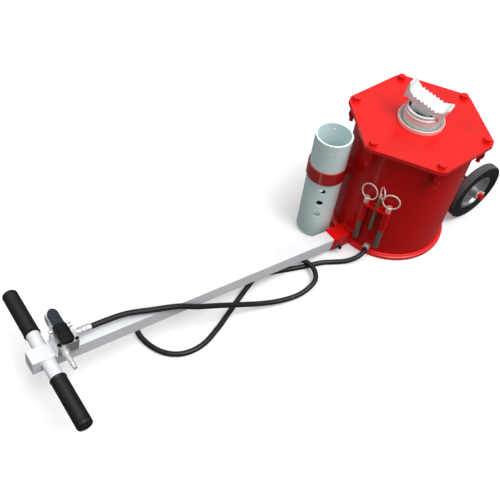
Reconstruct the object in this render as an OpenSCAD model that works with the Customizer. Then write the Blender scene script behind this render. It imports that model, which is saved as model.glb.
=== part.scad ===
// Wheeled air jack: a steel drum holding an air bellows that lifts a hollow ram,
// with a pinned draw handle, a stored extension tube, stored pins and two wheels.
// Millimetres, +Z up. Origin: drum axis at the floor. The handle points to -Y.

/* [Drum] */
// Outer radius of the drum shell
drum_r = 162; // [161:0.5:163]
// Wall thickness of the drum shell
drum_wall = 6; // [4:0.5:7]
// Radius of the base plate
base_r = 173; // [171:0.5:174]
// Thickness of the base plate
base_t = 12; // [10:1:12]
// Height of the top plate's upper face
top_z = 375; // [375:1:378]
// Thickness of the top plate
top_t = 12; // [10:1:14]
// Distance from the drum axis to a corner of the top plate
hex_r = 194; // [192:1:198]
// Radius of the circle that the plate bolts lie on
bolt_pcr = 176.5; // [176:0.5:178]

/* [Ram] */
// Outer radius of the ram tube
ram_r = 50.8; // [50.6:0.1:50.8]
// Inner radius of the ram tube
ram_bore = 41; // [40.5:0.5:42]
// Height of the ram's rim when lowered
ram_top = 420; // [418:1:422]
// Direction of the saddle's long side, from +X
saddle_turn = 19.5; // [0:0.5:90]
// Tilt of the saddle about its short side
saddle_tilt = 12.8; // [0:0.1:12.8]
// Length of the saddle
saddle_l = 121; // [120:0.5:122]
// Width of the saddle
saddle_w = 52; // [48:1:52]

/* [Handle] */
// Pitch of the draw handle
pitch = 8.7; // [8.6:0.1:8.8]
// Side of the square handle tube
tube_s = 38; // [36:1:38]
// Half length of the cross bar
tee_half = 189; // [185:1:195]
// Radius of the cross bar
tee_r = 15.9; // [15:0.1:16]
// Radius of the hand grips
grip_r = 18.2; // [17.5:0.1:20]

/* [Extension tube] */
// Outer radius of the extension tube
ext_r = 49.9; // [49:0.1:50]
// Height of the extension tube
ext_h = 343; // [330:1:350]
// Radius of the cross holes
ext_hole = 9.5; // [8.5:0.5:10]

/* [Stored pins] */
// Radius of the hitch pins
pin_r = 8; // [7:0.1:8]
// Mean radius of the pull rings
pull_r = 23; // [21:0.5:23.5]

/* [Wheels] */
// Tyre radius
wheel_r = 95; // [92:0.5:95]
// Height of the axle
axle_z = 97; // [96:0.5:98]
// Distance of the axle behind the drum axis
axle_y = 224; // [224:0.5:226]
// Outer face of each tyre, from the middle
wheel_x = 130; // [130:0.5:132]
// Tyre width
tyre_w = 28; // [27:0.5:28]
// Radius of the wheel rim
rim_r = 58; // [54:1:60]

/* [Hose] */
// Radius of the air hose
hose_r = 7; // [6.5:0.1:7]

/* [Hidden] */
$fn = 72;

hose_a = -64.3;                       // direction of the hose outlet on the drum
ext_a = -113;                         // direction of the extension tube
ext_d = 231.8;                        // its distance from the drum axis
pin_a = [-78, -56.5];               // directions of the two hitch pins
pin_d = drum_r + 11;
sleeve_z = [122, 191];
tee_u = 36;                           // cross bar, from the outer end of the handle
tee_w = -17;                          // and below its upper face
lock_a = -66.8;
head_z = 205;                         // cross hole of the hitch pins
hub_x = wheel_x - tyre_w/2;
stem_z = 384;
pivot_z = 437;                        // axis of the saddle's rocking seat
seat_r = 36;

// route of the air hose, drum outlet to handle ferrule
route = [
 [76.3,-158.6,24],[83,-173,22],[84,-195,17],[74,-225,9],[58,-255,7],[40,-290,7],[23,-345,7],
 [-14,-450,7],[-35,-510,7],[-55,-580,7],[-72,-650,7],[-84,-710,7],[-88,-765,7],[-74,-812,7],[-35,-836,7],
 [15,-830,7],[58,-805,7],[82,-765,7],[84,-715,7],[66,-662,7],[44,-615,7],[20,-565,7],[-6,-505,11],
 [-26,-450,19],[-30,-395,22.5],[-5,-349,20],[43,-330,21.6],[84,-350,20],[96,-400,13],[89,-455,12],[74,-515,22],
 [58,-580,46],[46,-645,78],[38,-705,110],[27,-755,137],[12,-822,155],[0,-878,169.5],[-2,-930,179.84],[-2,-972.2,186.3]];

function unit(v) = v/norm(v);
function cr(a,b,c,d,t) = 0.5*((2*b)+(c-a)*t+(2*a-5*b+4*c-d)*t*t+(3*b-a-3*c+d)*t*t*t);
function path(p) = let(n=len(p)) [for(i=[0:n-2]) for(k=[0,0.5])
    cr(p[max(i-1,0)],p[i],p[i+1],p[min(i+2,n-1)],k), p[n-1]];
function tangent(q,i,t0,t1) = i==0 ? unit(t0) : i==len(q)-1 ? unit(t1) : unit(q[i+1]-q[i-1]);
module sweep(q,r,sides,t0,t1) {
  m = len(q);
  pts = [for(i=[0:m-1]) let(t=tangent(q,i,t0,t1), s=unit(cross(t,[0,0,1])), u=cross(s,t))
      for(k=[0:sides-1]) q[i]+r*(cos(360*k/sides)*s+sin(360*k/sides)*u)];
  fcs = concat([[for(k=[0:sides-1]) k]],
      [for(i=[0:m-2]) for(k=[0:sides-1]) let(a=i*sides+k,b=i*sides+(k+1)%sides) [b,a,a+sides,b+sides]],
      [[for(k=[sides-1:-1:0]) (m-1)*sides+k]]);
  polyhedron(points=pts, faces=fcs, convexity=6);
}
module tube(r1,r2,h) difference() { cylinder(r=r2,h=h); translate([0,0,-1]) cylinder(r=r1,h=h+2); }
module at(a,d,z=0) rotate([0,0,a]) translate([d,0,z]) children();
// handle frame: local Y runs down the tube from its outer end, local Z=0 is its upper face
module on_handle() translate([0,-1109,185]) rotate([-pitch,0,0]) children();
// wheel side: +1 right, -1 left; local Z points outwards along the axle
module wheel_side(s) translate([0,axle_y,axle_z]) rotate([0,s*90,0]) children();
module hexagon(af) circle(r=af/sqrt(3),$fn=6);

module base_plate() color("firebrick") difference() {
  rotate_extrude($fn=144) polygon([[0,0],[base_r-2,0],[base_r,2],[base_r,base_t-4],[base_r-1.2,base_t-1.2],[base_r-4,base_t],[0,base_t]]);
  for(k=[0:3]) rotate([0,0,45+90*k]) translate([60,0,0]) {
    translate([0,0,-1]) cylinder(r=5.1,h=base_t+2);
    translate([0,0,-1]) cylinder(r1=11.2,r2=5.1,h=6.1);
  }
}
module drum_shell() color("firebrick") difference() {
  translate([0,0,base_t]) tube(drum_r-drum_wall,drum_r,top_z-top_t-base_t,$fn=144);
  at(hose_a,drum_r-12,24) rotate([0,90,0]) cylinder(r=7.1,h=24);
}
module top_plate() color("red") difference() {
  translate([0,0,top_z-top_t]) linear_extrude(top_t)
    intersection() {
      rotate(32.5) circle(r=hex_r+5,$fn=6);
      circle(r=hex_r,$fn=180);
    }
  translate([0,0,top_z-top_t-1]) cylinder(r=58,h=top_t+2);
  for(k=[0:5]) at(32.5+60*k,bolt_pcr,top_z-top_t-1) cylinder(r=6.5,h=top_t+2);
}
module plate_lugs() color("firebrick") for(k=[0:5]) rotate([0,0,32.5+60*k]) difference() {
  translate([drum_r-6,-12,333]) cube([22+bolt_pcr-170,24,top_z-top_t-333.01]);
  translate([0,0,300]) cylinder(r=drum_r+0.01,h=100,$fn=144);
  translate([bolt_pcr,0,320]) cylinder(r=6.5,h=60);
}
module plate_bolts() color("red") for(k=[0:5]) at(32.5+60*k,bolt_pcr) {
  translate([0,0,306]) cylinder(r=6,h=top_z+2.5-306);
  translate([0,0,top_z+2.5]) intersection() {
    linear_extrude(8) rotate(10) hexagon(19);
    cylinder(r1=14.5,r2=10,h=8.6);
  }
}
module plate_washers() color("firebrick") for(k=[0:5]) at(32.5+60*k,bolt_pcr,top_z+0.01) tube(6.5,13,2.48);
module plate_nuts() color("dimgray") for(k=[0:5]) at(32.5+60*k,bolt_pcr,322) difference() {
  linear_extrude(11) hexagon(19);
  translate([0,0,-1]) cylinder(r=6.02,h=13);
}
module guide_flange() color("silver") rotate_extrude($fn=144)
  polygon([[54,310],[58,310],[58,top_z],[61,top_z],[62,top_z+1],[62,top_z+11],[61.4,top_z+11.6],[60.2,top_z+11.6],[59.6,top_z+11],[59.6,top_z+7],[54,top_z+7]]);
module guide_bush() color("tan") translate([0,0,310]) tube(ram_r+0.07,54,top_z-310,$fn=144);
module wiper_seal() color("gray") translate([0,0,top_z]) rotate_extrude($fn=144)
  polygon([[ram_r+0.08,0],[54,0],[54,7],[53,8.4],[ram_r+0.08,6]]);
module ram_tube() color("gainsboro") rotate_extrude($fn=144)
  polygon([[ram_bore,134],[ram_r,134],[ram_r,ram_top-10],[ram_r-1.5,ram_top-8.5],[46.2,ram_top-8.5],[46.2,ram_top-6.5],
           [48.2,ram_top-6],[48.2,ram_top-1.6],[46.8,ram_top],[42.4,ram_top],[ram_bore,ram_top-1.4]]);
module piston_plate() color("slategray") difference() {
  translate([0,0,122]) cylinder(r=148,h=12,$fn=144);
  for(k=[0:3]) rotate([0,0,45+90*k]) translate([75,0,121]) cylinder(r=5.1,h=14);
}
module air_bellows() color("#222222") rotate_extrude($fn=96) polygon(concat(
  [for(i=[0:26]) [96+38*abs(sin(180*i/13)),36+3*i]],
  [for(i=[26:-1:0]) [89+36*abs(sin(180*i/13)),36+3*i]]));
module lower_bead_plate() color("slategray") difference() {
  translate([0,0,base_t]) cylinder(r=96,h=36-base_t);
  for(k=[0:3]) rotate([0,0,45+90*k]) translate([60,0,base_t-1]) cylinder(r=5.1,h=17);
  at(hose_a,40,24) rotate([0,90,0]) cylinder(r=7.1,h=70);
  at(hose_a,40,24) cylinder(r=6,h=20);
}
module upper_bead_plate() color("slategray") difference() {
  translate([0,0,114]) cylinder(r=96,h=8);
  for(k=[0:3]) rotate([0,0,45+90*k]) translate([75,0,113]) cylinder(r=5.1,h=10);
}
module lower_bead_screws() color("dimgray") for(k=[0:3]) rotate([0,0,45+90*k]) translate([60,0,0.5]) difference() {
  union() {
    cylinder(r=5,h=26);
    cylinder(r1=9.5,r2=5,h=4.6);
  }
  translate([0,0,-1]) linear_extrude(4) hexagon(6);
}
module upper_bead_bolts() color("silver") for(k=[0:3]) rotate([0,0,45+90*k]) translate([75,0,114.5]) {
  cylinder(r=5,h=19.5);
  translate([0,0,19.5]) linear_extrude(6.5) hexagon(16);
}
module bump_stop() color("#222222") translate([0,0,36]) difference() {
  rotate_extrude() polygon([[0,0],[33,0],[33,8],[27,22],[30,34],[24,58],[18,62],[0,62]]);
  translate([0,0,-1]) cylinder(r=6,h=70);
}
module supply_pipe() color("silver") at(hose_a,44,24) rotate([0,90,0]) tube(4.6,7,drum_r-44);
module saddle_seat() color("gray") translate([0,0,stem_z-16]) tube(19.07,ram_bore,16,$fn=96);
module swivel_cup() color("dimgray") difference() {
  union() {
    translate([0,0,stem_z-40]) cylinder(r=19,h=41);
    translate([0,0,stem_z+0.1]) cylinder(r=ram_bore-0.3,h=27);
  }
  translate([0,0,pivot_z]) rotate([0,0,saddle_turn]) rotate([90,0,0]) cylinder(r=seat_r+0.25,h=48.6,center=true,$fn=160);
}
module saddle() color("whitesmoke")
 translate([0,0,pivot_z]) rotate([0,0,saddle_turn]) rotate([0,saddle_tilt,0]) translate([0,0,-pivot_z]) {
  intersection() {
    translate([0,saddle_w/2,0]) rotate([90,0,0]) linear_extrude(saddle_w) polygon(concat(
      [[-27,417.5],[27,417.5],[29.6,427.3],[50,432],[53.5,424.5],[56,424.5],[57.5,433],[saddle_l/2,448],
       [saddle_l/2+2,458],[saddle_l/2+1.5,461.5],[saddle_l/2,463],[saddle_l/2-3,463],[saddle_l/2-9,454],[saddle_l/2-14,449.5]],
      [for(i=[0:14]) [38.8-38.8/7*i, i%2==0 ? 447 : 441.5]],
      [[14-saddle_l/2,449.5],[9-saddle_l/2,454],[3-saddle_l/2,463],[-saddle_l/2,463],[-1.5-saddle_l/2,461.5],[-2-saddle_l/2,458],
       [-saddle_l/2,448],[-57.5,433],[-56,424.5],[-53.5,424.5],[-50,432],[-29.6,427.3]]));
    translate([0,0,410]) linear_extrude(60) polygon([[-52,-saddle_w/2],[52,-saddle_w/2],[63,-13],[63,13],[52,saddle_w/2],
      [-52,saddle_w/2],[-63,13],[-63,-13]]);
  }
  intersection() {
    translate([0,0,pivot_z]) rotate([90,0,0]) cylinder(r=seat_r,h=48,center=true,$fn=160);
    translate([-27,-30,395]) cube([54,60,23]);
  }
}
module handle_socket() color("red") difference() {
  on_handle() difference() {
    translate([-22.3,885,-tube_s-3.3]) cube([44.6,100,tube_s+6.6]);
    translate([-tube_s/2-0.15,884,-tube_s-0.15]) cube([tube_s+0.3,62,tube_s+0.3]);
    translate([-30,905,-26]) rotate([0,90,0]) cylinder(r=5.05,h=60);
  }
  translate([0,0,base_t-0.01]) cylinder(r=drum_r,h=100,$fn=144);
  translate([0,0,-20]) cylinder(r=base_r,h=20+base_t,$fn=144);
  translate([-50,-300,-20]) cube([100,300,20]);
}
module handle_tube() color("whitesmoke") on_handle() difference() {
  translate([-tube_s/2,0,-tube_s]) cube([tube_s,940,tube_s]);
  translate([-tube_s/2+3,4,-tube_s+3]) cube([tube_s-6,940,tube_s-6]);
  translate([-50,tee_u,tee_w]) rotate([0,90,0]) cylinder(r=tee_r,h=100);
  translate([-30,905,-26]) rotate([0,90,0]) cylinder(r=5.05,h=60);
}
module handle_pin() color("#222222") on_handle() translate([0,905,-26]) rotate([0,90,0]) difference() {
  union() {
    translate([0,0,-25]) cylinder(r=5,h=62);
    translate([0,0,-30]) cylinder(r=8,h=5);
  }
  translate([0,-10,31]) rotate([-90,0,0]) cylinder(r=1.8,h=20);
}
module handle_pin_clip() color("dimgray") on_handle() translate([31,905,-26]) {
  translate([0,-11,0]) rotate([-90,0,0]) cylinder(r=1.6,h=24);
  translate([0,13,0]) rotate([-90,0,0]) cylinder(r=1.6,h=0.1);
  translate([0,-12.2,9]) rotate([0,90,0]) rotate_extrude($fn=48) translate([8,0]) circle(r=1.6,$fn=24);
}
module handle_skid() color("lightgray") on_handle() translate([4,0,-tube_s]) rotate([0,90,0]) linear_extrude(8)
  polygon(concat([[0,122]],[for(i=[0:12]) [7*sin(15*i)+2,128+11*i]],[[0,262]]));
module tee_bar() color("whitesmoke") on_handle() translate([-tee_half,tee_u,tee_w]) rotate([0,90,0]) tube(tee_r-3.2,tee_r,2*tee_half);
module grip() rotate_extrude($fn=72) polygon([[tee_r,-126],[grip_r+0.8,-126],[grip_r+0.8,-121],[grip_r,-120],[grip_r,-1],
   [grip_r-1.5,2.6],[grip_r-5,4.5],[0,4.5],[0,0.1],[tee_r,0.1]]);
module left_grip() color("#1a1a1a") on_handle() translate([-tee_half,tee_u,tee_w]) rotate([0,-90,0]) grip();
module right_grip() color("#1a1a1a") on_handle() translate([tee_half,tee_u,tee_w]) rotate([0,90,0]) grip();
module valve_plate() color("silver") on_handle() difference() {
  translate([-24,52,0]) cube([50,54,3]);
  for(u=[58.5,99.5]) translate([21,u,-1]) cylinder(r=2.6,h=5);
}
module valve_body() color("gainsboro") on_handle() difference() {
  union() {
    translate([-21,54,3]) cube([47,49,31]);
    for(u=[54,97.5]) {
      translate([-14,u+5.5,41]) rotate([90,0,0]) cylinder(r=6,h=5.5);
      translate([-20,u,33]) cube([12,5.5,8]);
    }
  }
  translate([-14,50,41]) rotate([-90,0,0]) cylinder(r=4.02,h=60);
  for(u=[58.5,99.5]) translate([21,u,0]) cylinder(r=2.6,h=40);
  translate([15,70,13]) rotate([0,90,0]) cylinder(r=5.6,h=20);
  translate([-2,90,22]) rotate([-90,0,0]) cylinder(r=6.1,h=20);
}
module valve_screws() color("dimgray") on_handle() for(u=[58.5,99.5]) translate([21,u,0.2]) {
  cylinder(r=2.5,h=34);
  translate([0,0,33.8]) difference() {
    cylinder(r=4.2,h=3);
    translate([0,0,1.4]) linear_extrude(3) hexagon(4);
  }
}
module valve_pivot() color("gray") on_handle() translate([-14,52.5,41]) rotate([-90,0,0]) {
  cylinder(r=4,h=52);
  translate([0,0,-1.5]) cylinder(r=5.4,h=2.9);
}
module rocker_plate() color("silver") on_handle() difference() {
  union() {
    translate([-60,61,46]) cube([94,27,3]);
    translate([0,63,0]) rotate([90,0,0]) linear_extrude(2)
      polygon([[-59,47],[-58,36],[-54,29],[-47,26],[-31,26],[-26,29],[-24,47]]);
    translate([0,88,0]) rotate([90,0,0]) linear_extrude(2)
      polygon([[-57,47],[-56,40],[-52,35],[-46,33],[-29,33],[-25,36],[-24,47]]);
    for(u=[65,83]) {
      translate([-14,u+3,41]) rotate([90,0,0]) cylinder(r=6,h=3);
      translate([-20,u,41]) cube([12,3,6]);
    }
  }
  translate([-14,50,41]) rotate([-90,0,0]) cylinder(r=4.05,h=60);
}
module lift_pad() color("slategray") on_handle() translate([0,75.5,49]) intersection() {
  linear_extrude(11) union() {
    translate([-47,0]) circle(r=12.2);
    translate([-47,-12.2]) square([30,24.4]);
  }
  translate([0,0,-12]) rotate([0,90,0]) translate([0,0,-70]) cylinder(r=22.5,h=60);
}
module lower_pad() color("#161616") on_handle() translate([-14,59,49]) intersection() {
  linear_extrude(13) polygon([[0,0],[43,0],[47,3],[48.5,8],[48.5,22.5],[47,27.5],[43,30.5],[0,30.5]]);
  translate([-1,15.25,-12]) rotate([0,90,0]) cylinder(r=25,h=60);
}
module inlet_plug() color("gainsboro") on_handle() translate([16,70,13]) rotate([0,90,0]) difference() {
  rotate_extrude($fn=60) polygon([[0,0],[5.5,0],[5.5,10.2],[9,10.2],[9,17],[8,18],[5.2,22],[5.2,31],[5.9,32],[5.9,37],[4.1,38.5],[4.1,42],[5.9,43.5],[5.9,47],[4.5,49],[4.5,59],[0,59]]);
  translate([0,0,24]) cylinder(r=2.6,h=40);
  translate([0,0,10]) difference() { cylinder(r=11,h=7.1); translate([0,0,-1]) linear_extrude(9) hexagon(15.8); }
}
module outlet_nut() color("silver") on_handle() translate([-2,94,22]) rotate([-90,0,0]) {
  cylinder(r=6,h=10);
  translate([0,0,9]) linear_extrude(8) hexagon(17);
}
module hose_ferrule() color("silver") on_handle() translate([-2,111,22]) rotate([-90,0,0]) rotate_extrude($fn=60)
  polygon([[0,0],[7,0],[7,3],[9.2,3],[9.2,9],[8.6,10],[8.6,14],[9.2,15],[9.2,19],[8.6,20],[8.6,24],[9.2,25],[9.2,31],[8.6,32.6],[hose_r+0.4,32.6],[hose_r+0.4,24],[0,24]]);
module air_hose() color("#222222") sweep(path(route),hose_r,10,[cos(hose_a),sin(hose_a),0],[0,-cos(pitch),sin(pitch)]);
module hose_nipple() color("silver") at(hose_a,drum_r,24) rotate([0,90,0]) {
  linear_extrude(8) hexagon(19);
  translate([0,0,7]) cylinder(r=8,h=6.95);
}
module extension_tube() color("#b9c4c4") at(ext_a,ext_d,7.1) difference() {
  tube(ext_r-5,ext_r,ext_h,$fn=120);
  for(z=[91,136,180.5,322]) translate([0,0,z]) rotate([0,0,-ext_a-45]) rotate([0,90,0]) translate([0,0,-80]) cylinder(r=z<200 ? ext_hole : 3.5,h=160);
}
module holder_ring() color("firebrick") difference() {
  union() {
    at(ext_a,ext_d,214) cylinder(r=ext_r+3.8,h=42,$fn=120);
    rotate([0,0,ext_a]) translate([drum_r-8,-16,218]) cube([30,32,34]);
  }
  at(ext_a,ext_d,180) cylinder(r=ext_r+0.6,h=80,$fn=120);
  translate([0,0,180]) cylinder(r=drum_r,h=80,$fn=144);
}
module tube_rest() color("firebrick") difference() {
  rotate([0,0,ext_a]) translate([160,-22,0]) cube([98,44,7]);
  translate([0,0,-1]) cylinder(r=base_r,h=20,$fn=144);
}
module pin_rack() color("firebrick") {
  for(a=pin_a) at(a,pin_d,sleeve_z[0]) tube(pin_r+0.07,11,sleeve_z[1]-sleeve_z[0]);
  difference() {
    rotate([0,0,(pin_a[0]+pin_a[1])/2]) translate([pin_d-12.5,-40,185]) cube([22,80,5]);
    translate([0,0,170]) cylinder(r=drum_r,h=40,$fn=144);
    for(a=pin_a) at(a,pin_d,170) cylinder(r=11,h=40);
    at(lock_a,pin_d,170) cylinder(r=5.57,h=40);
    for(s=[-1,1]) rotate([0,0,(pin_a[0]+pin_a[1])/2]) translate([0,s*(pin_d*sin((pin_a[1]-pin_a[0])/2)+20)-20,170]) cube([300,40,40]);
  }
}
module hitch_pin(a) at(a,pin_d) difference() {
  union() {
    translate([0,0,44]) cylinder(r1=pin_r-2,r2=pin_r,h=3);
    translate([0,0,47]) cylinder(r=pin_r,h=162);
    translate([0,0,209]) cylinder(r1=pin_r,r2=pin_r-2,h=2);
  }
  rotate([0,0,-a]) rotate([0,0,a+90]) translate([-20,0,head_z]) rotate([0,90,0]) cylinder(r=2.9,h=40);
}
module pull_ring(a,lean) at(a,pin_d,head_z) rotate([0,-lean,0]) translate([0,0,pull_r-0.65]) rotate([0,90,0]) rotate_extrude($fn=72) translate([pull_r,0]) circle(r=2,$fn=24);
// each ring hangs in the cross hole of its pin, its wire centred on the hole's axis
module left_hitch_pin() color("lightslategray") hitch_pin(pin_a[0]);
module right_hitch_pin() color("lightslategray") hitch_pin(pin_a[1]);
module left_pull_ring() color("silver") pull_ring(pin_a[0],9);
module right_pull_ring() color("silver") pull_ring(pin_a[1],2);
module lock_pin() color("lightslategray") at(lock_a,pin_d) union() {
  translate([0,0,103]) cylinder(r1=4,r2=5.5,h=2);
  translate([0,0,105]) cylinder(r=5.5,h=86);
  translate([0,0,190.05]) cylinder(r=6.1,h=3);
  translate([0,0,192]) cylinder(r=4,h=48);
  translate([7.5*cos(36),7.5*sin(36),251.5]) rotate([0,0,36]) rotate([90,0,0]) rotate_extrude($fn=60) translate([16.8,0]) circle(r=1.8,$fn=24);
}
module axle() color("firebrick") wheel_side(1) translate([0,0,-153]) difference() {
  cylinder(r=9.5,h=306);
  for(x=[12,294]) translate([0,0,x]) rotate([90,0,0]) translate([0,0,-20]) cylinder(r=2.1,h=40);
}
module axle_brackets() color("firebrick") for(s=[-1,1]) difference() {
  translate([s*66-4,0,0]) rotate([90,0,90]) linear_extrude(8)
    polygon([[120,50],[200,66],[238,84],[243,90],[243,104],[238,112],[222,116],[120,150]]);
  translate([0,0,base_t]) cylinder(r=drum_r,h=200,$fn=144);
  translate([-200,axle_y,axle_z]) rotate([0,90,0]) cylinder(r=9.5,h=400);
}
module axle_spacers() color("dimgray") for(s=[-1,1]) wheel_side(s) translate([0,0,70]) tube(9.55,13,29.8);
module axle_washers() color("silver") for(s=[-1,1]) wheel_side(s) translate([0,0,136.2]) tube(9.55,15,2.5);
module cotter_pins() color("silver") for(s=[-1,1]) wheel_side(s) translate([0,0,141]) rotate([90,0,0]) {
  translate([0,0,-15]) cylinder(r=2,h=28);
  translate([0,0,-19]) rotate([90,0,0]) rotate_extrude($fn=40) translate([3.6,0]) circle(r=1.4,$fn=20);
}
module wheel_hub(s) wheel_side(s) rotate_extrude($fn=120) polygon([[9.56,100],[16,100],[16,hub_x-3],[rim_r-12,hub_x-3],[rim_r-8,hub_x-9],
  [rim_r,hub_x-9],[rim_r,hub_x-6],[rim_r-4,hub_x-6],[rim_r-4,hub_x+6],[rim_r,hub_x+6],[rim_r,hub_x+9],[rim_r-8,hub_x+9],[rim_r-12,hub_x+1],[18,hub_x+1],[16,hub_x+3],[16,136],[9.56,136]]);
module tyre(s) wheel_side(s) rotate_extrude($fn=144) polygon(concat(
  [[rim_r-4,hub_x-6],[rim_r,hub_x-6],[rim_r,hub_x-9],[rim_r+4,hub_x-11],[78,hub_x-tyre_w/2],[88,hub_x-tyre_w/2+0.5],[92,hub_x-tyre_w/2+2.5]],
  [for(i=[-3:3]) for(k=[-1.2,1.2]) [wheel_r-0.16*i*i-(i%2==0?0:2), hub_x+3*i+k]],
  [[92,hub_x+tyre_w/2-2.5],[88,hub_x+tyre_w/2-0.5],[78,hub_x+tyre_w/2],[rim_r+4,hub_x+11],[rim_r,hub_x+9],[rim_r,hub_x+6],[rim_r-4,hub_x+6]]));
module left_wheel_hub() color("silver") wheel_hub(-1);
module right_wheel_hub() color("silver") wheel_hub(1);
module left_tyre() color("#1c1c1c") tyre(-1);
module right_tyre() color("#1c1c1c") tyre(1);

base_plate();
drum_shell();
top_plate();
plate_lugs();
plate_bolts();
plate_washers();
plate_nuts();
guide_flange();
guide_bush();
wiper_seal();
ram_tube();
piston_plate();
air_bellows();
lower_bead_plate();
upper_bead_plate();
lower_bead_screws();
upper_bead_bolts();
bump_stop();
supply_pipe();
saddle_seat();
swivel_cup();
saddle();
handle_socket();
handle_tube();
handle_pin();
handle_pin_clip();
handle_skid();
tee_bar();
left_grip();
right_grip();
valve_plate();
valve_body();
valve_screws();
valve_pivot();
rocker_plate();
lift_pad();
lower_pad();
inlet_plug();
outlet_nut();
hose_ferrule();
air_hose();
hose_nipple();
extension_tube();
holder_ring();
tube_rest();
pin_rack();
left_hitch_pin();
left_pull_ring();
right_hitch_pin();
right_pull_ring();
lock_pin();
axle();
axle_brackets();
axle_spacers();
axle_washers();
cotter_pins();
left_wheel_hub();
left_tyre();
right_wheel_hub();
right_tyre();
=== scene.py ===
import bpy, bmesh, math, random
from mathutils import Vector, Matrix


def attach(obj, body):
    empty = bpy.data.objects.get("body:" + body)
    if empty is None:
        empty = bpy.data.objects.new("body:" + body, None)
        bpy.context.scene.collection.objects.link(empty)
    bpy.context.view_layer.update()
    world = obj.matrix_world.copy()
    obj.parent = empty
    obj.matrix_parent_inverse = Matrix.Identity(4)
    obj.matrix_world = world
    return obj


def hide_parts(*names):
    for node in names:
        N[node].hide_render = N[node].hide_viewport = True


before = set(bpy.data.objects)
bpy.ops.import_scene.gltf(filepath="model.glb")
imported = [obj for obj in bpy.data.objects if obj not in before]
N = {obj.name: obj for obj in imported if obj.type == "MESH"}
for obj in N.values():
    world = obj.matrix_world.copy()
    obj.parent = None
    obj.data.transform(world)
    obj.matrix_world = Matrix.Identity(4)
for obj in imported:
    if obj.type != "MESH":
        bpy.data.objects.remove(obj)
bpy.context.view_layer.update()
random.seed(7)
scene = bpy.context.scene

# ---------------------------------------------------------------- camera
cam_data = bpy.data.cameras.new("camera")
cam = bpy.data.objects.new("camera", cam_data)
scene.collection.objects.link(cam)
back = (0.4731528879700478, -0.4213183566638423, 0.7737035523659451)
xa = (0.5784682963862615, 0.8109605934147562, 0.08784842630555562)
ya = (-0.664455246560353, 0.4059972392350294, 0.6274276588196878)
m = Matrix.Identity(4)
for r in range(3):
    m[r][0], m[r][1], m[r][2] = xa[r], ya[r], back[r]
m[0][3], m[1][3], m[2][3] = 0.775729, -1.219070, 1.444690
cam.matrix_world = m
cam_data.sensor_width = 36
cam_data.lens = 47.0413
cam_data.clip_start = 0.05
scene.camera = cam


# ---------------------------------------------------------------- small helpers
def link(o):
    scene.collection.objects.link(o)
    return o


def mesh_obj(name, verts, faces, smooth=True):
    me = bpy.data.meshes.new(name)
    me.from_pydata([tuple(v) for v in verts], [], faces)
    me.validate()
    bm = bmesh.new()
    bm.from_mesh(me)
    bmesh.ops.recalc_face_normals(bm, faces=bm.faces)
    bm.to_mesh(me)
    bm.free()
    for p in me.polygons:
        p.use_smooth = smooth
    return link(bpy.data.objects.new(name, me))


PITCH = math.radians(8.7)
CP, SP = math.cos(PITCH), math.sin(PITCH)


def H(x, u, w):
    """Handle frame (mm): x across, u down the tube from its outer end, w above its upper face. Returns metres."""
    return Vector((x / 1000, (-1109 + u * CP + w * SP) / 1000, (185 - u * SP + w * CP) / 1000))


HROT = Matrix(((1, 0, 0), (0, CP, SP), (0, -SP, CP)))


def polar(a, r, z):
    a = math.radians(a)
    return Vector((r * math.cos(a) / 1000, r * math.sin(a) / 1000, z / 1000))


# ---------------------------------------------------------------- the hose
ROUTE = [
    (76.3, -158.6, 24), (83, -173, 22), (84, -195, 17), (74, -225, 9), (58, -255, 7), (40, -290, 7), (23, -345, 7), 
    (-14, -450, 7), (-35, -510, 7), (-55, -580, 7), (-72, -650, 7), (-84, -710, 7), (-88, -765, 7), (-74, -812, 7), (-35, -836, 7),
    (15, -830, 7), (58, -805, 7), (82, -765, 7), (84, -715, 7), (66, -662, 7), (44, -615, 7), (20, -565, 7), (-6, -505, 11),
    (-26, -450, 19), (-30, -395, 22.5), (-5, -349, 20), (43, -330, 21.6), (84, -350, 20), (96, -400, 13), (89, -455, 12), (74, -515, 22),
    (58, -580, 46), (46, -645, 78), (38, -705, 110), (27, -755, 137), (12, -822, 155), (0, -878, 169.5), (-2, -930, 179.84), (-2, -972.2, 186.3)]
ROUTE = [Vector(p) / 1000 for p in ROUTE]


def make_hose():
    cu = bpy.data.curves.new("air_hose_rubber", "CURVE")
    cu.dimensions = "3D"
    sp = cu.splines.new("BEZIER")
    sp.bezier_points.add(len(ROUTE) - 1)
    n = len(ROUTE)
    for i, p in enumerate(ROUTE):
        a = ROUTE[max(i - 1, 0)]
        b = ROUTE[min(i + 1, n - 1)]
        t = (b - a) / 6
        bp = sp.bezier_points[i]
        bp.co = p
        bp.handle_left_type = bp.handle_right_type = "FREE"
        bp.handle_left = p - t
        bp.handle_right = p + t
        bp.radius = 0.007
    sp.resolution_u = 10
    cu.bevel_depth = 1.0
    cu.bevel_resolution = 5
    cu.use_fill_caps = True
    return link(bpy.data.objects.new("air_hose_rubber", cu))


def hose_length():
    total, n = 0.0, len(ROUTE)
    last = None
    for i in range(n - 1):
        a, b, c, d = ROUTE[max(i - 1, 0)], ROUTE[i], ROUTE[i + 1], ROUTE[min(i + 2, n - 1)]
        for k in range(20):
            t = k / 20
            q = 0.5 * ((2 * b) + (c - a) * t + (2 * a - 5 * b + 4 * c - d) * t * t + (3 * b - a - 3 * c + d) * t ** 3)
            if last is not None:
                total += (q - last).length
            last = q
    return total + (ROUTE[-1] - last).length


hose = make_hose()
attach(hose, "chassis")
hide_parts("air_hose")
HOSE_LEN = round(hose_length(), 3)


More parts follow.
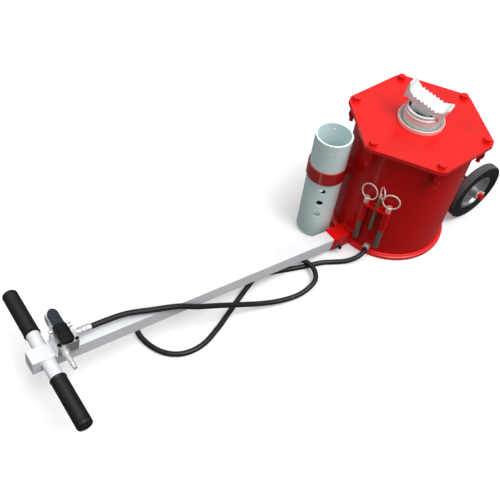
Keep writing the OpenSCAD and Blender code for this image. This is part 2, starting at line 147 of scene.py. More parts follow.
# ---------------------------------------------------------------- materials
class Mat:
    """A node material built in steps; coordinates are the object's own, in metres."""

    def __init__(self, name, base, rough=0.5, metal=0.0, coat=0.0, coat_rough=0.05, spec=0.5):
        self.m = bpy.data.materials.new(name)
        self.m.use_nodes = True
        self.t = self.m.node_tree
        self.b = self.t.nodes["Principled BSDF"]
        self.set("Base Color", (*base, 1))
        self.set("Roughness", rough)
        self.set("Metallic", metal)
        self.set("Coat Weight", coat)
        self.set("Coat Roughness", coat_rough)
        self.set("Specular IOR Level", spec)
        self.tc = self.t.nodes.new("ShaderNodeTexCoord")
        self.colour = None
        self.base = base
        self.rough = None
        self.rough0 = rough
        self.height = None

    def set(self, k, v):
        self.b.inputs[k].default_value = v

    def node(self, kind, **kw):
        n = self.t.nodes.new(kind)
        for k, v in kw.items():
            if k.startswith("i_"):
                n.inputs[k[2:].replace("_", " ")].default_value = v
            else:
                setattr(n, k, v)
        return n

    def link(self, a, b):
        self.t.links.new(a, b)

    def coords(self, scale=(1, 1, 1), rot=(0, 0, 0), loc=(0, 0, 0)):
        mp = self.node("ShaderNodeMapping")
        mp.inputs["Scale"].default_value = scale
        mp.inputs["Rotation"].default_value = rot
        mp.inputs["Location"].default_value = loc
        self.link(self.tc.outputs["Object"], mp.inputs["Vector"])
        return mp.outputs["Vector"]

    def noise(self, scale, detail=3.0, rough=0.55, dist=0.0, vec=None):
        n = self.node("ShaderNodeTexNoise")
        n.inputs["Scale"].default_value = scale
        n.inputs["Detail"].default_value = detail
        n.inputs["Roughness"].default_value = rough
        n.inputs["Distortion"].default_value = dist
        self.link(vec or self.tc.outputs["Object"], n.inputs["Vector"])
        return n.outputs["Fac"]

    def ramp(self, fac, stops):
        r = self.node("ShaderNodeValToRGB")
        e = r.color_ramp.elements
        while len(e) < len(stops):
            e.new(0.5)
        for i, (p, c) in enumerate(stops):
            e[i].position = p
            e[i].color = (*c, 1) if len(c) == 3 else c
        self.link(fac, r.inputs["Fac"])
        return r.outputs["Color"]

    def mask(self, fac, lo, hi):
        r = self.node("ShaderNodeMapRange")
        r.inputs["From Min"].default_value = lo
        r.inputs["From Max"].default_value = hi
        r.clamp = True
        self.link(fac, r.inputs["Value"])
        return r.outputs["Result"]

    def math(self, op, a, b=None):
        n = self.node("ShaderNodeMath", operation=op)
        for i, v in enumerate((a, b)):
            if v is None:
                continue
            if isinstance(v, (int, float)):
                n.inputs[i].default_value = v
            else:
                self.link(v, n.inputs[i])
        return n.outputs[0]

    def blend_colour(self, fac, colour, mode="MIX"):
        n = self.node("ShaderNodeMix", data_type="RGBA", blend_type=mode)
        if isinstance(fac, (int, float)):
            n.inputs[0].default_value = fac
        else:
            self.link(fac, n.inputs[0])
        if self.colour is None:
            n.inputs[6].default_value = (*self.base, 1)
        else:
            self.link(self.colour, n.inputs[6])
        if isinstance(colour, tuple):
            n.inputs[7].default_value = (*colour, 1)
        else:
            self.link(colour, n.inputs[7])
        self.colour = n.outputs[2]

    def vary(self, scale=12, amount=0.12, detail=4, vec=None):
        """Slow light and dark variation of the colour."""
        f = self.noise(scale, detail, vec=vec)
        lo = tuple(c * (1 - amount) for c in self.base)
        hi = tuple(min(1, c * (1 + amount)) for c in self.base)
        col = self.ramp(f, [(0.3, lo), (0.7, hi)])
        if self.colour is None:
            self.colour = col
        else:
            self.blend_colour(0.5, col)

    def add_rough(self, fac, amount):
        a = self.math("MULTIPLY", fac, amount)
        self.rough = self.math("ADD", self.rough if self.rough is not None else self.rough0, a)

    def add_bump(self, fac, amount):
        a = self.math("MULTIPLY", fac, amount)
        self.height = a if self.height is None else self.math("ADD", self.height, a)

    def edge(self, radius=0.002, lo=0.02, hi=0.25):
        """1 near sharp edges."""
        bv = self.node("ShaderNodeBevel", samples=4)
        bv.inputs["Radius"].default_value = radius
        g = self.node("ShaderNodeNewGeometry")
        d = self.node("ShaderNodeVectorMath", operation="DOT_PRODUCT")
        self.link(bv.outputs[0], d.inputs[0])
        self.link(g.outputs["Normal"], d.inputs[1])
        inv = self.math("SUBTRACT", 1.0, d.outputs["Value"])
        return self.mask(inv, lo, hi)

    def done(self, strength=1.0, distance=1.0, coat_bump=False):
        if self.colour is not None:
            self.link(self.colour, self.b.inputs["Base Color"])
        if self.rough is not None:
            self.link(self.mask(self.rough, 0, 1), self.b.inputs["Roughness"])
        if self.height is not None:
            bp = self.node("ShaderNodeBump")
            bp.inputs["Strength"].default_value = strength
            bp.inputs["Distance"].default_value = distance
            self.link(self.height, bp.inputs["Height"])
            self.link(bp.outputs[0], self.b.inputs["Normal"])
            if coat_bump:
                self.link(bp.outputs[0], self.b.inputs["Coat Normal"])
        return self.m


def paint(name, base, rough=0.30, coat=0.25, dark=0.85, dirt=0.25, chip=0.35, chip_colour=(0.30, 0.29, 0.28), spec=0.3):
    k = Mat(name, base, rough, 0, coat, 0.08, spec)
    k.vary(5, 0.07)
    cav = k.mask(k.noise(9, 6, 0.65), 0.5, 0.78)
    k.blend_colour(k.math("MULTIPLY", cav, dirt), tuple(c * (1 - dark) + 0.01 for c in base))
    fine = k.noise(160, 4, 0.7)
    e = k.edge(0.0016, 0.03, 0.22)
    chips = k.math("MULTIPLY", e, k.mask(k.noise(95, 5, 0.7), 0.52, 0.60))
    k.blend_colour(k.math("MULTIPLY", chips, chip), chip_colour)
    k.add_rough(k.mask(k.noise(22, 5, 0.6), 0.35, 0.8), 0.14)
    k.add_rough(chips, 0.25)
    k.add_bump(k.noise(260, 2, 0.5), 0.00010)
    k.add_bump(k.noise(40, 2, 0.5), 0.00025)
    k.add_bump(chips, -0.00012)
    return k.done(0.6, 1.0, coat_bump=False)


def steel(name, base=(0.6, 0.6, 0.6), rough=0.3, brush=(1, 1, 30), amount=0.1, stain=0.15, metal=1.0, bump=0.00006):
    k = Mat(name, base, rough, metal)
    k.vary(18, amount)
    st = k.mask(k.noise(30, 6, 0.7), 0.55, 0.75)
    k.blend_colour(k.math("MULTIPLY", st, stain), tuple(c * 0.45 for c in base))
    v = k.coords(scale=brush)
    br = k.noise(60, 4, 0.7, vec=v)
    k.add_rough(k.mask(br, 0.3, 0.7), 0.14)
    k.add_bump(br, bump)
    k.add_bump(k.noise(300, 3, 0.6), bump * 0.7)
    return k.done(0.6)


def turned(name, base, rough, centre=(0, 0), pitch=900.0, amount=0.1, metal=1.0, mottle=0.35, rim_highlight=None):
    """Machined metal: fine rings about a vertical axis."""
    k = Mat(name, base, rough, metal)
    k.vary(25, amount)
    v = k.coords(scale=(1, 1, 0.0), loc=(-centre[0], -centre[1], 0))
    ln = k.node("ShaderNodeVectorMath", operation="LENGTH")
    k.link(v, ln.inputs[0])
    ring = k.math("SINE", k.math("MULTIPLY", ln.outputs["Value"], pitch * 6.28))
    k.add_bump(ring, 0.00003)
    k.add_rough(k.mask(k.noise(50, 5, 0.7), 0.3, 0.8), 0.15)
    st = k.mask(k.noise(35, 6, 0.7), 0.55, 0.78)
    k.blend_colour(k.math("MULTIPLY", st, mottle), tuple(c * 0.5 for c in base))
    # rim_highlight: a bright cream band between two radii, a painted highlight on a rim
    if rim_highlight:
        k.blend_colour(k.mask(ln.outputs["Value"], rim_highlight[0], rim_highlight[1]), rim_highlight[2])
    return k.done(0.7)


def rubber(name, base=(0.02, 0.02, 0.021), rough=0.55, grain=700, depth=0.00015, dust=0.2):
    k = Mat(name, base, rough, 0, 0, spec=0.4)
    k.vary(30, 0.25)
    d = k.mask(k.noise(14, 6, 0.7), 0.45, 0.8)
    k.blend_colour(k.math("MULTIPLY", d, dust), (0.12, 0.115, 0.11))
    k.add_rough(k.mask(k.noise(40, 4, 0.6), 0.3, 0.7), 0.15)
    k.add_bump(k.noise(grain, 3, 0.6), depth)
    return k.done(0.7)


RED = (0.80, 0.006, 0.004)
M_RED = paint("paint_red", RED)
# M_RED_SHADED: a darker copy of the red paint, painted shade on the drum wall and the parts round and under it
M_RED_SHADED = paint("paint_red_shaded", (0.62, 0.003, 0.002), rough=0.28, coat=0.10, dirt=0.25, spec=0.16)
# M_RED_BAND: a darker, glossier copy of the red paint, painted shade on the holder ring band
M_RED_BAND = paint("paint_red_band", (0.50, 0.006, 0.006), rough=0.20, coat=0.55, dirt=0.3, spec=0.4)
# M_RED_BASE: a slightly brighter, pinker copy of the red paint, painted light on the base plate
M_RED_BASE = paint("paint_red_base", (0.84, 0.010, 0.008), rough=0.26, coat=0.45, dirt=0.2, spec=0.4)
M_WHITE = paint("paint_white", (0.80, 0.81, 0.83), rough=0.32, coat=0.3, dirt=0.10, dark=0.55, chip=0.3, chip_colour=(0.35, 0.33, 0.30))
M_TUBE = paint("paint_grey_teal", (0.80, 0.97, 0.95), rough=0.42, coat=0.1, dirt=0.10, dark=0.35)
M_CAST = None


def cast_paint():
    k = Mat("cast_white", (0.84, 0.83, 0.835), 0.5, 0, 0.1)
    k.vary(20, 0.06)
    e = k.edge(0.0025, 0.03, 0.25)
    worn = k.math("MULTIPLY", e, k.mask(k.noise(60, 5, 0.7), 0.45, 0.62))
    k.blend_colour(k.math("MULTIPLY", worn, 0.5), (0.33, 0.31, 0.30))
    k.add_rough(k.mask(k.noise(60, 4, 0.6), 0.3, 0.7), 0.2)
    k.add_bump(k.noise(220, 5, 0.65), 0.0006)
    k.add_bump(k.noise(60, 3, 0.6), 0.0008)
    return k.done(0.8)


M_CAST = cast_paint()
M_CHROME = turned("ram_plated", (0.78, 0.87, 0.855), 0.33, pitch=500, metal=0.3, mottle=0.4)
# the guide flange's rim at 59.2 to 59.9 mm radius gets a painted cream highlight
M_FLANGE = turned("flange_machined", (0.50, 0.55, 0.50), 0.42, pitch=700, metal=0.45, rim_highlight=(0.0592, 0.0599, (1.0, 0.86, 0.80)))
M_ZINC = steel("zinc_plate", (0.88, 0.88, 0.89), 0.28, (6, 6, 6), 0.12, 0.2, metal=0.62)
M_BRIGHT = steel("bright_wire", (1.0, 0.80, 0.68), 0.24, (3, 3, 3), 0.06, 0.05, metal=0.12)
M_PIN = steel("pin_zinc", (0.25, 0.205, 0.17), 0.45, (20, 20, 4), 0.22, 0.35, metal=0.6)
M_DARKSTEEL = steel("dark_steel", (0.16, 0.16, 0.165), 0.45, (6, 6, 6), 0.2, 0.2)
M_BLACKOX = steel("black_oxide", (0.03, 0.03, 0.032), 0.4, (6, 6, 6), 0.2, 0.1)
M_ALU = steel("cast_aluminium", (0.74, 0.76, 0.75), 0.36, (4, 4, 4), 0.08, 0.12, bump=0.00012)
# near-black greased steel for the swivel cup; it also stands in for the shade of the dark crescent in the ram's bore,
# partly painted shade
M_GREASE_AND_SHADE = steel("greased_steel_and_shade", (0.035, 0.032, 0.03), 0.35, (4, 4, 4), 0.3, 0.3)
M_RUBBER = rubber("grip_rubber", (0.004, 0.0044, 0.0044), 0.34, 900, 0.0003, 0.02)
M_HOSE = rubber("hose_rubber", (0.008, 0.008, 0.0085), 0.33, 1200, 0.00012, 0.04)


def tyre_rubber():
    k = Mat("tyre_rubber", (0.009, 0.010, 0.009), 0.5, 0, 0, spec=0.3)
    k.vary(30, 0.25)
    v = k.node("ShaderNodeVectorMath", operation="SUBTRACT")
    v.inputs[1].default_value = (0, 0.224, 0.097)
    k.link(k.tc.outputs["Object"], v.inputs[0])
    flat = k.node("ShaderNodeVectorMath", operation="MULTIPLY")
    flat.inputs[1].default_value = (0, 1, 1)
    k.link(v.outputs[0], flat.inputs[0])
    ln = k.node("ShaderNodeVectorMath", operation="LENGTH")
    k.link(flat.outputs[0], ln.inputs[0])
    # the tread band is blended to a lighter grey: painted light from above, varied by dust noise
    lit_tread = k.mask(ln.outputs["Value"], 0.0915, 0.0938)
    dust = k.mask(k.noise(55, 6, 0.7), 0.2, 0.7)
    k.blend_colour(k.math("MULTIPLY", lit_tread, k.math("ADD", k.math("MULTIPLY", dust, 0.35), 0.5)), (0.16, 0.16, 0.155))
    wall = k.mask(k.noise(14, 6, 0.7), 0.5, 0.85)
    k.blend_colour(k.math("MULTIPLY", wall, 0.12), (0.10, 0.10, 0.095))
    k.add_rough(lit_tread, 0.3)
    k.add_rough(k.mask(k.noise(40, 4, 0.6), 0.3, 0.7), 0.12)
    k.add_bump(k.noise(600, 3, 0.6), 0.0003)
    return k.done(0.7)


M_TYRE = tyre_rubber()
M_BELLOWS = rubber("bellows_rubber", (0.02, 0.02, 0.02), 0.6, 400, 0.0003, 0.2)
M_SEAL = rubber("seal_rubber", (0.32, 0.33, 0.32), 0.5, 600, 0.0001, 0.1)
def speckled(name, base, dark, rough):
    """Moulded plastic with a coarse dark grain and rubbed high spots."""
    k = Mat(name, base, rough, 0, 0, spec=0.25)
    k.vary(40, 0.2)
    grain = k.mask(k.noise(420, 4, 0.75), 0.42, 0.56)
    k.blend_colour(k.math("MULTIPLY", grain, 0.75), dark)
    worn = k.math("MULTIPLY", k.edge(0.002, 0.03, 0.3), k.mask(k.noise(120, 4, 0.7), 0.4, 0.6))
    k.blend_colour(k.math("MULTIPLY", worn, 0.35), (0.16, 0.17, 0.18))
    k.add_rough(grain, 0.15)
    k.add_bump(k.noise(420, 4, 0.75), 0.0005)
    return k.done(0.7)


# M_LIFT is a lighter, bluish copy of the black pad plastic of M_LOWER: painted light on the upturned pad
M_LIFT = speckled("pad_plastic_lit", (0.034, 0.044, 0.056), (0.005, 0.006, 0.008), 0.45)
M_LOWER = speckled("pad_black", (0.004, 0.004, 0.0042), (0.0015, 0.0015, 0.0015), 0.5)


def tone_by_height(name, a, b, z0, z1, rough=0.3):
    """Steel that turns from colour a below height z0 to colour b above z1."""
    k = Mat(name, a, rough, 0.65)
    k.vary(25, 0.2)
    sep = k.node("ShaderNodeSeparateXYZ")
    k.link(k.tc.outputs["Object"], sep.inputs[0])
    k.blend_colour(k.mask(sep.outputs["Z"], z0, z1), b)
    k.add_rough(k.mask(k.noise(50, 5, 0.7), 0.3, 0.8), 0.15)
    k.add_bump(k.noise(300, 3, 0.6), 0.00006)
    return k.done(0.6)



def paint_bore_shade(mat, cx, cy, r, z0, z1, colour=(0.02, 0.02, 0.02)):
    """Painted shade down a pipe: darkens the bore below z1, fully by z0."""
    nt = mat.node_tree
    bs = next(n for n in nt.nodes if n.type == "BSDF_PRINCIPLED")
    src = bs.inputs["Base Color"].links[0].from_socket
    tc = nt.nodes.new("ShaderNodeTexCoord")
    v = tc.outputs["Object"]
    for op, val in (("SUBTRACT", (cx, cy, 0)), ("MULTIPLY", (1, 1, 0)), ("LENGTH", None)):
        n = nt.nodes.new("ShaderNodeVectorMath")
        n.operation = op
        nt.links.new(v, n.inputs[0])
        if val:
            n.inputs[1].default_value = val
            v = n.outputs["Vector"]
        else:
            v = n.outputs["Value"]
    lt = nt.nodes.new("ShaderNodeMath")
    lt.operation = "LESS_THAN"
    lt.inputs[1].default_value = r
    nt.links.new(v, lt.inputs[0])
    sep = nt.nodes.new("ShaderNodeSeparateXYZ")
    nt.links.new(tc.outputs["Object"], sep.inputs[0])
    mr = nt.nodes.new("ShaderNodeMapRange")
    for i, val in ((1, z0), (2, z1), (3, 1.0), (4, 0.0)):
        mr.inputs[i].default_value = val
    nt.links.new(sep.outputs["Z"], mr.inputs[0])
    mu = nt.nodes.new("ShaderNodeMath")
    mu.operation = "MULTIPLY"
    nt.links.new(lt.outputs[0], mu.inputs[0])
    nt.links.new(mr.outputs[0], mu.inputs[1])
    mx = nt.nodes.new("ShaderNodeMixRGB")
    mx.inputs[2].default_value = (*colour, 1)
    nt.links.new(mu.outputs[0], mx.inputs[0])
    nt.links.new(src, mx.inputs[1])
    nt.links.new(mx.outputs[0], bs.inputs["Base Color"])


# painted shade inside the extension tube's bore, darkest at 0.20 m and gone by 0.27 m
paint_bore_shade(M_TUBE, 0.2318 * math.cos(math.radians(-113)), 0.2318 * math.sin(math.radians(-113)), 49.9 / 1000 - 0.0032, 0.20, 0.27)
M_LOCK = tone_by_height("lock_pin_zinc", (0.25, 0.205, 0.165), (1.0, 0.84, 0.80), 0.226, 0.232)
# hitch pins: the pale pink colour above 0.196 m is a painted highlight on the pin heads
M_HITCH = tone_by_height("hitch_pin_zinc", (0.27, 0.215, 0.17), (1.0, 0.76, 0.68), 0.188, 0.196)
M_HUB = steel("hub_steel", (0.50, 0.51, 0.50), 0.34, (6, 6, 6), 0.15, 0.35, metal=0.85)
M_BUSH = Mat("bush_polymer", (0.55, 0.47, 0.33), 0.5)
M_BUSH.vary(30, 0.1)
M_BUSH.add_bump(M_BUSH.noise(300, 3), 0.0001)
M_BUSH = M_BUSH.done(0.5)
hose.data.materials.append(M_HOSE)

ASSIGN = {
    "base_plate": M_RED_BASE, "drum_shell": M_RED_SHADED, "top_plate": M_RED, "plate_lugs": M_RED_SHADED, "plate_bolts": M_RED,
    "plate_washers": M_RED, "plate_nuts": M_RED_SHADED, "guide_flange": M_FLANGE, "guide_bush": M_BUSH, "wiper_seal": M_SEAL,
    "ram_tube": M_CHROME, "piston_plate": M_DARKSTEEL, "air_bellows": M_BELLOWS, "lower_bead_plate": M_DARKSTEEL,
    "upper_bead_plate": M_DARKSTEEL, "lower_bead_screws": M_DARKSTEEL, "upper_bead_bolts": M_ZINC, "bump_stop": M_BELLOWS,
    "supply_pipe": M_ZINC, "saddle_seat": M_DARKSTEEL, "swivel_cup": M_GREASE_AND_SHADE, "saddle": M_CAST, "handle_socket": M_RED, "handle_tube": M_WHITE,
    "handle_pin": M_BLACKOX, "handle_pin_clip": M_DARKSTEEL, "handle_skid": M_ZINC, "tee_bar": M_WHITE, "left_grip": M_RUBBER,
    "right_grip": M_RUBBER, "valve_plate": M_ZINC, "valve_body": M_ALU, "valve_screws": M_BLACKOX, "valve_pivot": M_ZINC,
    "rocker_plate": M_ZINC, "lift_pad": M_LIFT, "lower_pad": M_LOWER, "inlet_plug": M_ZINC,
    "outlet_nut": M_ZINC, "hose_ferrule": M_ZINC, "air_hose": M_HOSE, "hose_nipple": M_ZINC, "extension_tube": M_TUBE,
    "holder_ring": M_RED_BAND, "tube_rest": M_RED_SHADED, "pin_rack": M_RED_SHADED, "left_hitch_pin": M_HITCH, "right_hitch_pin": M_HITCH,
    "left_pull_ring": M_BRIGHT, "right_pull_ring": M_BRIGHT, "lock_pin": M_LOCK, "axle": M_RED_SHADED, "axle_brackets": M_RED_SHADED,
    "axle_spacers": M_DARKSTEEL, "axle_washers": M_ZINC, "cotter_pins": M_ZINC, "left_wheel_hub": M_HUB, "right_wheel_hub": M_HUB,
    "left_tyre": M_TYRE, "right_tyre": M_TYRE}
BEVEL = {
    "base_plate": 0, "drum_shell": 0, "top_plate": 1.2, "plate_lugs": 1.0, "plate_bolts": 0.5, "plate_washers": 0.4,
    "plate_nuts": 0.5, "saddle": 1.2, "handle_socket": 1.0, "handle_tube": 1.4, "handle_pin": 0.5, "tee_bar": 0.6,
    "valve_plate": 0.5, "valve_body": 1.2, "valve_screws": 0.3, "rocker_plate": 0.6, "inlet_plug": 0.3, "outlet_nut": 0.6,
    "hose_ferrule": 0.3, "hose_nipple": 0.6, "extension_tube": 0.6, "holder_ring": 0.8, "tube_rest": 0.8, "pin_rack": 0.5,
    "left_hitch_pin": 0.3, "right_hitch_pin": 0.3, "lock_pin": 0.3, "axle": 0.6, "axle_brackets": 0.9, "handle_skid": 0.6,
    "piston_plate": 0.8, "lower_bead_plate": 0.8, "upper_bead_plate": 0.8, "valve_pivot": 0.3,
    "ram_tube": 0.3, "guide_flange": 0.2, "saddle_seat": 0.3}


def dress(o, mat, width=0.0):
    me = o.data
    me.materials.clear()
    me.materials.append(mat)
    for name in ("custom_normal",):
        a = me.attributes.get(name)
        if a is not None:
            me.attributes.remove(a)
    for p in me.polygons:
        p.use_smooth = True
    w = o.modifiers.new("weld", "WELD")
    w.merge_threshold = 1e-6
    if width > 0:
        d = o.modifiers.new("flat", "DECIMATE")
        d.decimate_type = "DISSOLVE"
        d.angle_limit = math.radians(0.6)
        d.delimit = set()
    if width > 0:
        b = o.modifiers.new("bevel", "BEVEL")
        b.limit_method = "ANGLE"
        b.angle_limit = math.radians(32)
        b.width = width / 1000
        b.segments = 2
        b.harden_normals = True
        b.use_clamp_overlap = True
    else:
        es = o.modifiers.new("split", "EDGE_SPLIT")
        es.split_angle = math.radians(32)


for name, mat in ASSIGN.items():
    dress(N[name], mat, BEVEL.get(name, 0))


# ---------------------------------------------------------------- detailed pieces
def lathe(name, prof, origin, axis, segs=96, wobble=None, loop=False):
    """Turns a profile of (radius, height) pairs in mm about an axis."""
    axis = Vector(axis).normalized()
    u = axis.orthogonal().normalized()
    v = axis.cross(u)
    verts, faces = [], []
    n = len(prof)
    for i in range(segs):
        t = 2 * math.pi * i / segs
        d = u * math.cos(t) + v * math.sin(t)
        for j, (r, h) in enumerate(prof):
            if wobble:
                r = wobble(i, j, r, h)
            verts.append(Vector(origin) + (axis * h + d * r) / 1000)
    for i in range(segs):
        k = (i + 1) % segs
        for j in range(n if loop else n - 1):
            q = (j + 1) % n
            faces.append((i * n + j, k * n + j, k * n + q, i * n + q))
    if not loop:
        for j in (0, n - 1):
            if prof[j][0] > 0:
                faces.append([i * n + j for i in range(segs)])
    return mesh_obj(name, verts, faces)


def sharpen(o, angle=30):
    es = o.modifiers.new("split", "EDGE_SPLIT")
    es.split_angle = math.radians(angle)
    return o


def finish_piece(o, mat, body, replaces=None):
    o.data.materials.clear()
    o.data.materials.append(mat)
    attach(o, body)
    if replaces:
        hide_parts(replaces)
    return o


def bead(name, pts, radius, mat, body, closed=False, ripple=0.16, pitch=0.0032, flat=0.75, seed=1, normals=None):
    """A run of weld along pts (metres): a flattened tube whose size swells once per drop of metal."""
    rnd = random.Random(seed)
    dense = []
    n = len(pts)
    for i in range(n if closed else n - 1):
        a, b = pts[i], pts[(i + 1) % n]
        k = max(1, int(round((b - a).length / pitch)))
        for j in range(k):
            dense.append(a.lerp(b, j / k))
    if not closed:
        dense.append(pts[-1])
    m = len(dense)
    verts, faces = [], []
    sides = 8
    for i, q in enumerate(dense):
        a = dense[(i - 1) % m] if closed or i > 0 else q
        b = dense[(i + 1) % m] if closed or i < m - 1 else q
        t = (b - a).normalized()
        s1 = t.cross(Vector((0, 0, 1)))
        if s1.length < 0.2:
            s1 = t.cross(Vector((q.x, q.y, 0)))
        s1.normalize()
        s2 = s1.cross(t)
        r = radius * (1 + ripple * (1 if i % 2 else -1) + rnd.uniform(-0.05, 0.05))
        if not closed and i in (0, m - 1):
            r *= 0.35
        for j in range(sides):
            w = 2 * math.pi * j / sides
            verts.append(q + s1 * (math.cos(w) * r) + s2 * (math.sin(w) * r * flat))
    for i in range(m if closed else m - 1):
        k = (i + 1) % m
        for j in range(sides):
            q = (j + 1) % sides
            faces.append((i * sides + j, k * sides + j, k * sides + q, i * sides + q))
    if not closed:
        faces.append(list(range(sides)))
        faces.append([(m - 1) * sides + j for j in range(sides)])
    o = mesh_obj(name, verts, faces)
    return finish_piece(o, mat, body, None)


def ring_pts(r, z, a0=0.0, a1=360.0, step=3.0, centre=(0, 0)):
    n = max(2, int(abs(a1 - a0) / step))
    full = abs(abs(a1 - a0) - 360) < 1e-6
    out = []
    for i in range(n if full else n + 1):
        a = math.radians(a0 + (a1 - a0) * i / n)
        out.append(Vector(((centre[0] + r * math.cos(a)) / 1000, (centre[1] + r * math.sin(a)) / 1000, z / 1000)))
    return out


# tyres: five ribs, notched shoulders and moulded rings on the walls
AX_Y, AX_Z = 0.224, 0.097


def tyre(side):
    x0 = 0.116 * side
    half = [(94.7, 0), (94.7, 1.7), (93.0, 2.1), (93.0, 3.3), (94.8, 3.7), (94.8, 6.4), (92.9, 6.8), (92.9, 8.0), (94.4, 8.4),
            (94.0, 10.4), (92.6, 11.9), (90.6, 12.9), (88.0, 13.3), (87.4, 13.7), (86.0, 13.8), (85.4, 13.4), (80.6, 13.5),
            (80.2, 13.9), (78.8, 13.9), (78.4, 13.4), (74.6, 13.2), (74.2, 13.7), (72.6, 13.7), (72.2, 13.1), (68.0, 12.6),
            (67.6, 13.1), (65.8, 13.0), (65.4, 12.3), (62.0, 11.8), (60.4, 11.9), (58.3, 11.2)]
    prof = [(r, -h) for r, h in reversed(half[1:])] + half

    def notch(i, j, r, h):
        if abs(h) > 8.2 and abs(h) < 12.5 and r > 91 and i % 4 == 0:
            return r - 1.5
        if 3.5 < abs(h) < 6.6 and r > 94 and i % 8 == 2:
            return r - 0.8
        return r

    o = lathe("tyre_" + ("right" if side > 0 else "left"), prof, (x0, AX_Y, AX_Z), (1, 0, 0), 240, notch, loop=True)
    sharpen(o, 38)
    w = "right" if side > 0 else "left"
    return finish_piece(o, M_TYRE, w + "_wheel", w + "_tyre")


tyre(1)
tyre(-1)

# hand grips: a collar at the inner end, fine rings, a moulded line and a domed outer end
for side in (-1, 1):
    prof = [(15.95, -126), (17.6, -126), (18.9, -125.2), (19.0, -121.6), (18.2, -120.8), (18.1, -118.4)]
    h = -118.0
    while h < -8.5:
        prof += [(18.15, h), (17.98, h + 0.35), (17.98, h + 0.75), (18.15, h + 1.1)]
        h += 2.2
    prof += [(18.2, -7.6), (17.5, -7.2), (17.5, -6.2), (18.2, -5.8), (18.2, -1.2), (17.7, 1.0), (16.4, 2.9), (14.2, 4.0), (10.0, 4.4), (9.4, 3.9), (0.4, 4.1)]
    tip = H(189 * side, 36, -17)
    o = lathe("grip_" + ("right" if side > 0 else "left"), prof, tip, (side, 0, 0), 84)
    sharpen(o, 50)
    w = "right" if side > 0 else "left"
    finish_piece(o, M_RUBBER, "chassis", w + "_grip")

# welds
bead("weld_drum_foot", ring_pts(163.4, 13.2), 0.0034, M_RED, "chassis", closed=True, seed=2)
bead("weld_drum_top", ring_pts(163.2, 361.8), 0.0030, M_RED_SHADED, "chassis", closed=True, seed=3)
SEAM = [polar(-74, 161.9, z) for z in range(16, 360, 4)]
bead("weld_drum_seam", SEAM, 0.0022, M_RED_SHADED, "chassis", ripple=0.10, pitch=0.0030, flat=0.5, seed=4)
for n, a in (("a", 32.5), ("b", 92.5), ("c", 152.5), ("d", 212.5), ("e", 272.5), ("f", 332.5)):
    for sgn in (-1, 1):
        da = math.degrees(12.6 / 162)
        bead("weld_lug_%s_%s" % (n, "l" if sgn < 0 else "r"), [polar(a + sgn * da, 162.6, z) for z in (334, 340, 348, 356, 361)], 0.0020,
             M_RED_SHADED, "chassis", seed=int(a) + sgn)
ex, ey = 231.8 * math.cos(math.radians(-113)), 231.8 * math.sin(math.radians(-113))
er = Vector((math.cos(math.radians(-113)), math.sin(math.radians(-113)), 0))
et = Vector((-er.y, er.x, 0))


def on_ext(r, t, z):
    return er * (r / 1000) + et * (t / 1000) + Vector((0, 0, z / 1000))


for sgn in (-1, 1):
    w = "l" if sgn < 0 else "r"
    bead("weld_bracket_ring_" + w, [on_ext(178.6, 16.6 * sgn, z) for z in (219, 227, 235, 243, 251)], 0.0019, M_RED_SHADED, "chassis", seed=11 + sgn)
    bead("weld_bracket_drum_" + w, [on_ext(162.0, 17.0 * sgn, z) for z in (218, 227, 235, 243, 252)], 0.0026, M_RED_SHADED, "chassis", seed=15 + sgn)
for i, a in enumerate((-78, -56.5)):
    for sgn in (-1, 1):
        bead("weld_sleeve_%d%s" % (i, "l" if sgn < 0 else "r"), [polar(a + sgn * 2.6, 163.2, z) for z in (124, 140, 160, 176, 188)], 0.0021,
             M_RED_SHADED, "chassis", seed=21 + i * 2 + sgn)
bead("weld_plate_top", [polar(a, 162.8, 191.0) for a in range(-73, -60, 2)], 0.0018, M_RED, "chassis", seed=31)
bead("weld_socket_top", [Vector((x / 1000, -math.sqrt(162.6 ** 2 - x * x) / 1000, 0.0445)) for x in (-21, -14, -7, 0, 7, 14, 21)], 0.0028,
     M_RED, "chassis", seed=33)
for sgn in (-1, 1):
    bead("weld_tee_" + ("l" if sgn < 0 else "r"),
         [H(19.4 * sgn, 36 + 16.6 * math.cos(t * math.pi / 12), -17 + 16.6 * math.sin(t * math.pi / 12)) for t in range(24)],
         0.0018, M_WHITE, "chassis", closed=True, seed=35 + sgn)
bead("weld_rest", [on_ext(174.6, t, 7.0) for t in (-20, -12, -4, 4, 12, 20)], 0.0022, M_RED_SHADED, "chassis", seed=41)
for sgn in (-1, 1):
    for e in (-1, 1):
        x = 66 * sgn + 4.6 * e
        y = math.sqrt(162.0 ** 2 - x * x)
        bead("weld_axle_%d_%d" % (sgn + 1, e + 1), [Vector((x / 1000, y / 1000 + 0.0006, z / 1000)) for z in (60, 80, 100, 120, 134)], 0.0026,
             M_RED_SHADED, "chassis", seed=51 + sgn * 3 + e)

SKY_TOP, SKY_LOW, SUN = 1.3, 0.15, 1.8

# ---------------------------------------------------------------- stage and light
me = bpy.data.meshes.new("studio_floor")
me.from_pydata([(-30, -30, 0), (30, -30, 0), (30, 30, 0), (-30, 30, 0)], [], [(0, 1, 2, 3)])
floor = link(bpy.data.objects.new("studio_floor", me))
k = Mat("floor_pale", (0.84, 0.84, 0.84), 0.8, spec=0.1)
k.vary(0.8, 0.01)
floor.data.materials.append(k.done())
floor.visible_diffuse = False
floor.visible_glossy = False


def glow(mat, strength):
    bs = next(n for n in mat.node_tree.nodes if n.type == "BSDF_PRINCIPLED")
    bs.inputs["Emission Color"].default_value = (1, 1, 1, 1)
    bs.inputs["Emission Strength"].default_value = strength


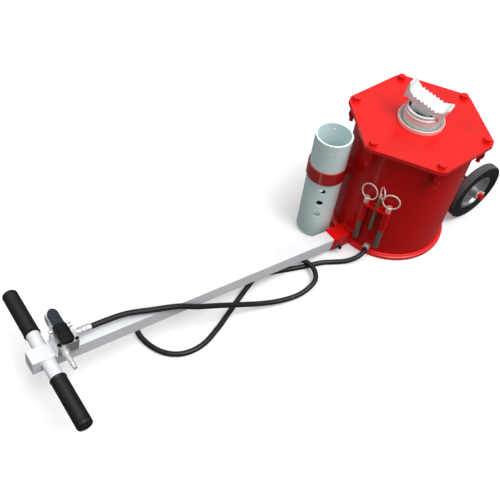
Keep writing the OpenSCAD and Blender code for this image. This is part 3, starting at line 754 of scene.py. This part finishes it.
glow(floor.data.materials[0], 0.16)
WALL = 48
me = bpy.data.meshes.new("studio_wall")
me.from_pydata([(29 * math.cos(2 * math.pi * (i % WALL) / WALL), 29 * math.sin(2 * math.pi * (i % WALL) / WALL), -0.02 if i < WALL else 24)
                for i in range(2 * WALL)], [], [((i + 1) % WALL, i, i + WALL, (i + 1) % WALL + WALL) for i in range(WALL)])
wall = link(bpy.data.objects.new("studio_wall", me))
k = Mat("wall_pale", (0.8, 0.8, 0.8), 0.9, spec=0.05)
k.vary(0.8, 0.01)
wall.data.materials.append(k.done())
glow(wall.data.materials[0], 0.75)
wall.visible_diffuse = wall.visible_glossy = wall.visible_shadow = False
wall.visible_transmission = wall.visible_volume_scatter = False

world = bpy.data.worlds.new("studio")
scene.world = world
world.use_nodes = True
wt = world.node_tree
bg = wt.nodes["Background"]
bg.inputs["Color"].default_value = (0.97, 0.985, 1.0, 1)
wc = wt.nodes.new("ShaderNodeTexCoord")
ws = wt.nodes.new("ShaderNodeSeparateXYZ")
wt.links.new(wc.outputs["Generated"], ws.inputs[0])
last = ws.outputs["Z"]
for op, v in (("MAXIMUM", 0.0), ("POWER", 2.2), ("MULTIPLY", SKY_TOP), ("ADD", SKY_LOW)):
    n = wt.nodes.new("ShaderNodeMath")
    n.operation = op
    n.inputs[1].default_value = v
    wt.links.new(last, n.inputs[0])
    last = n.outputs[0]
wt.links.new(last, bg.inputs["Strength"])


def area(name, loc, target, size, energy, colour=(1, 1, 1)):
    l = bpy.data.lights.new(name, "AREA")
    l.shape = "RECTANGLE"
    l.size, l.size_y = size
    l.energy = energy
    l.color = colour
    o = link(bpy.data.objects.new(name, l))
    d = Vector(target) - Vector(loc)
    o.rotation_euler = d.to_track_quat("-Z", "Y").to_euler()
    o.location = loc
    return o


sun = bpy.data.lights.new("soft_key", "SUN")
sun.energy = SUN
sun.angle = 0.55
so = link(bpy.data.objects.new("soft_key", sun))
so.rotation_euler = (Vector((0, 0, 0)) - Vector((0.75, 0.35, 2.0))).to_track_quat("-Z", "Y").to_euler()
so.location = (0.75, 0.35, 2.0)
area("strip_right", (2.6, 0.2, 1.5), (0, 0, 0.2), (0.7, 2.0), 7)
scene.view_settings.view_transform = "Standard"
